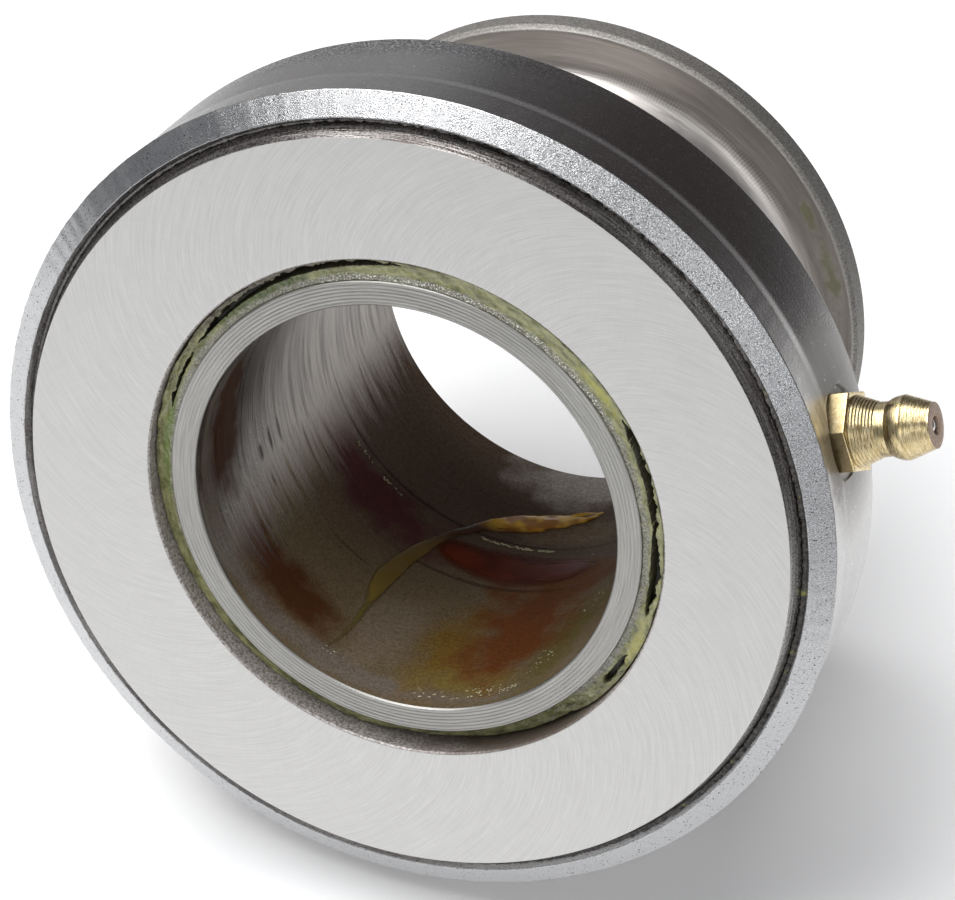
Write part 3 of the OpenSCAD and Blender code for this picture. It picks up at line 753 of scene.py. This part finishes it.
# Grease fitting: turned brass, a hexagon with a tapered neck and a round head around a ball-closed hole.
# It stands on the spot face, screwed in from the side along +X.
HEX_R, HEX_H, HEX_TURN, HEX_BREAK = 4.584, 2.2, 24, 0.12
SHANK_R, SHANK_END, CHAMBER_R, INLET_R, STAKE_Z = 3.155, -3.35, 1.4, 0.95, -2.95
CONE_R, CONE_H, WAIST_R, WAIST_Z, CONE_RINGS, CONE_RING_DEPTH = 3.7, 2.48, 2.78, 5.62, 16, 0.08
HEAD_R, HEAD_Z, NOSE_R, NOSE_Z, NOSE_H, NOSE_RINGS, NOSE_RING_DEPTH = 3.3, 7.4, 3.28, 7.45, 2.72, 14, 0.035
TIP_R, TIP_Z, TIP_HOLE_Z, SEAT_END_Z = 2.35, 10.2, 9.7, 9.25
to_fitting = Matrix.Translation((SPOT_R / MM, 0, FITTING_Z / MM)) @ Matrix.Rotation(math.radians(90), 4, "Y")

# Brass: pale yellow metal with tool rings, drawn a little coarser than the tool's real feed
brass, tree, shader = finish("turned_brass")
place, radius, height, angle, around = round_space(tree)
rings = turning(tree, around, height, 0.16, 3)
tone = add(tree, "MapRange", (rings, 0.3, 0.7))
fill(tree, shader, {
    "Metallic": 1.0,
    "Base Color": add(tree, "Mix", (tone, rgb("#a58d5c"), rgb("#e2d3ac")), data_type="RGBA"),
    "Roughness": add(tree, "MapRange", (rings, 0.3, 0.7, 0.2, 0.32)),
    "Normal": add(tree, "Bump", {"Height": rings, "Distance": 0.02 / MM}),
})

# Worn brass: the tip's end, dulled to a pinkish grey by couplers; milled brass: the hexagon's smooth flats
clouded = []
for name, size, low, high, first, second, rough in (
    ("worn_brass", 0.3, 0.35, 0.65, "#a28c7c", "#bfa996", 0.5),
    ("milled_brass", 0.5, 0.3, 0.7, "#c4ad7c", "#dccca4", 0.26),
):
    plain, tree, shader = finish(name)
    tone = add(tree, "MapRange", (add(tree, "TexNoise", (round_space(tree)[0], 1 / size)), low, high))
    colour = add(tree, "Mix", (tone, rgb(first), rgb(second)), data_type="RGBA")
    fill(tree, shader, {"Metallic": 1.0, "Base Color": colour, "Roughness": rough})
    clouded.append(plain)
worn_brass, milled_brass = clouded

BRASS, WORN = range(2)
cone, nose = [], []
for i in range(CONE_RINGS + 1):
    r = CONE_R + (WAIST_R - CONE_R) * i / CONE_RINGS
    cone.append((r - (CONE_RING_DEPTH if i % 2 else 0), HEX_H + 0.02 + CONE_H * i / CONE_RINGS))
for i in range(NOSE_RINGS + 1):
    r = NOSE_R + (TIP_R - NOSE_R) * i / NOSE_RINGS
    nose.append((r - (NOSE_RING_DEPTH if i % 2 else 0), NOSE_Z + NOSE_H * i / NOSE_RINGS))
head = lathe("fitting_head", [
    (CHAMBER_R, STAKE_Z), (INLET_R, STAKE_Z), (INLET_R, SHANK_END), (SHANK_R, SHANK_END), (SHANK_R, HEX_H),
    *cone, (WAIST_R, WAIST_Z), *arc(0, HEAD_Z, HEAD_R, -32.6, 0, 6), *nose,
    (TIP_R, TIP_Z, WORN), (INLET_R, TIP_Z, WORN),
    (INLET_R, TIP_HOLE_Z, BRASS), (CHAMBER_R, SEAT_END_Z, BRASS),
], [brass, worn_brass], edge=0.05, turns=128)
corners = []
for h, size in ((0.0, HEX_R), (HEX_H - HEX_BREAK, HEX_R), (HEX_H, HEX_R - 0.14)):
    corners += [swing(size, math.radians(180 - HEX_TURN + 60 * i), h) for i in range(6)]
flats = quads(3, 6, round_columns=True, flip=True)
nut = show("fitting_hexagon", corners, flats + [(5, 4, 3, 2, 1, 0), (12, 13, 14, 15, 16, 17)], [milled_brass])
bevel = nut.modifiers.new("edge_break", "BEVEL")
bevel.width, bevel.segments, bevel.harden_normals = HEX_BREAK / MM, 2, True
for piece in (head, nut):
    piece.matrix_world = to_fitting
    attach(piece, "carrier")
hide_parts("grease_fitting")

# Check spring: round steel wire coiled in the fitting's chamber, behind the ball that closes the tip.
# It stands on the shank's staked end, and the ball presses it together when grease is pumped in.
COIL_R, WIRE_R, WIRE_SIDES, COILS, COIL_STEPS, COIL_FOOT, COIL_TOP = 1.07, 0.18, 8, 7, 24 * 7, -2.72, 7.93

# Spring wire: drawn steel, plain grey with a soft shine
wire, tree, shader = finish("spring_wire")
fill(tree, shader, {"Metallic": 1.0, "Base Color": rgb("#b9b9b9"), "Roughness": 0.3})

verts = []
for i in range(COIL_STEPS + 1):
    spin = 2 * math.pi * COILS * i / COIL_STEPS
    rise = COIL_FOOT + (COIL_TOP - COIL_FOOT) * i / COIL_STEPS
    for n in range(WIRE_SIDES):
        a = 2 * math.pi * n / WIRE_SIDES
        verts.append(swing(COIL_R + WIRE_R * math.cos(a), spin, rise + WIRE_R * math.sin(a)))
ends = [tuple(range(WIRE_SIDES)), tuple(range(len(verts) - 1, len(verts) - 1 - WIRE_SIDES, -1))]
coil = show("check_spring_coil", verts, quads(COIL_STEPS + 1, WIRE_SIDES, round_columns=True) + ends, [wire])
coil.matrix_world = to_fitting
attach(coil, "carrier")
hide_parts("check_spring")
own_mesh(coil)

# Studio: a pale paper table that the part lies on as it was photographed, on its flange and its collar.
# The paper turns grey beyond the part, which gives the metal something dark to mirror, and the camera sees it
# white there, as it sees the room. From below, the table lets the view through.
right = Vector((0.90446, -0.24522, -0.34902))
above = Vector((0.35666, 0.88358, 0.30346))
away = above.cross(right)
TABLE_DROP, TABLE_HALF = 31.5, 1600
corners = []
for x, y in ((-1, -1), (1, -1), (1, 1), (-1, 1)):
    corners.append(above * -TABLE_DROP + right * TABLE_HALF * x + away * TABLE_HALF * y)

# White paper: matt, and bright enough to hold the part's shadow
paper, tree, shader = finish("white_paper")
place = round_space(tree)[0]
sideways = add(tree, "VectorMath", (place, right), operation="DOT_PRODUCT")
behind = add(tree, "VectorMath", (place, away), operation="DOT_PRODUCT")
dim = add(tree, "Math", (
    add(tree, "MapRange", (sideways, 130, 240)), add(tree, "MapRange", (behind, 30, 150, 0.0, 0.8)),
), operation="MAXIMUM")
rays = add(tree, "LightPath").node.outputs
mirrored = add(tree, "Math", (rays["Is Glossy Ray"], 0.2), operation="MULTIPLY")
glow = add(tree, "MapRange", (rays["Is Camera Ray"], 0.0, 1.0, mirrored, 0.06))
glow = add(tree, "Math", (glow, add(tree, "Math", (1.0, dim), operation="SUBTRACT")), operation="MULTIPLY")
lifted = add(tree, "Math", (rays["Is Camera Ray"], dim), operation="MULTIPLY")
fill(tree, shader, {
    "Base Color": add(tree, "Mix", (dim, rgb("#f8f8f8"), rgb("#5e5c5c")), data_type="RGBA"),
    "Roughness": 0.9,
    "Specular IOR Level": 0.1,
    "Emission Color": rgb("#fcfcff"),
    "Emission Strength": add(tree, "Math", (lifted, 0.9, glow), operation="MULTIPLY_ADD"),
})
backfacing = add(tree, "NewGeometry").node.outputs["Backfacing"]
surface = add(tree, "MixShader", (backfacing, shader.outputs[0], add(tree, "BsdfTransparent")))
tree.links.new(surface, tree.nodes["Material Output"].inputs[0])
table = show("table", corners, [(0, 1, 2, 3)], [paper])

# Room: grey walls for the metal to mirror, pale in front and behind, with one dark corner and a window
WINDOW_LIGHT = [4.0, 4.0, 4.0, 1]
world = bpy.data.worlds.new("studio")
scene.world = world
world.use_nodes = True
tree = world.node_tree
look = add(tree, "TexCoord").node.outputs["Generated"]
walls = rgb("#8d8f92")
for direction, start, full, colour in (
    (right * 0.3 - away * 0.95, 0.5, 0.95, rgb("#e2e4e7")),
    (right * 0.69 + away * 0.7 + above * 0.18, 0.55, 0.95, rgb("#463f40")),
    (away * 0.96 - right * 0.25 + above * 0.1, 0.93, 0.99, rgb("#c2c5c9")),
    (right * 0.13 + above * 0.59 - away * 0.79, 0.97, 0.991, WINDOW_LIGHT),
):
    toward = add(tree, "VectorMath", (look, direction), operation="DOT_PRODUCT")
    walls = add(tree, "Mix", (add(tree, "MapRange", (toward, start, full)), walls, colour), data_type="RGBA")
seen = add(tree, "LightPath").node.outputs["Is Camera Ray"]
backdrop = add(tree, "Mix", (seen, walls, rgb("#ffffff")), data_type="RGBA")
tree.links.new(backdrop, tree.nodes["Background"].inputs[0])

# Softbox: one large lamp above the part's left side
lamp = bpy.data.objects.new("softbox", bpy.data.lights.new("softbox", "AREA"))
lamp.data.shape, lamp.data.size, lamp.data.size_y, lamp.data.energy = "RECTANGLE", 0.65, 1.1, 11.7
lamp.location = right * -0.36 + away * 0.14 + above * 0.82
lamp.rotation_mode = "QUATERNION"
lamp.rotation_quaternion = (-lamp.location).to_track_quat("-Z", "Y")
lamp.visible_camera = False
scene.collection.objects.link(lamp)

# Camera: the photograph's long lens, close to the thrust face and looking down on the table.
camera = bpy.data.objects.new("camera", bpy.data.cameras.new("camera"))
camera.data.sensor_width, camera.data.lens = 36, 179.07
camera.data.clip_start, camera.data.clip_end = 0.01, 20
upward, back = Vector((0.07323, 0.89535, -0.43931)), Vector((0.42022, 0.37178, 0.82776))
turn = Matrix((right, upward, back)).transposed().to_4x4()
camera.matrix_world = Matrix.Translation((0.210835, 0.183752, 0.450124)) @ turn
scene.collection.objects.link(camera)
scene.camera = camera
scene.view_settings.view_transform = "Standard"
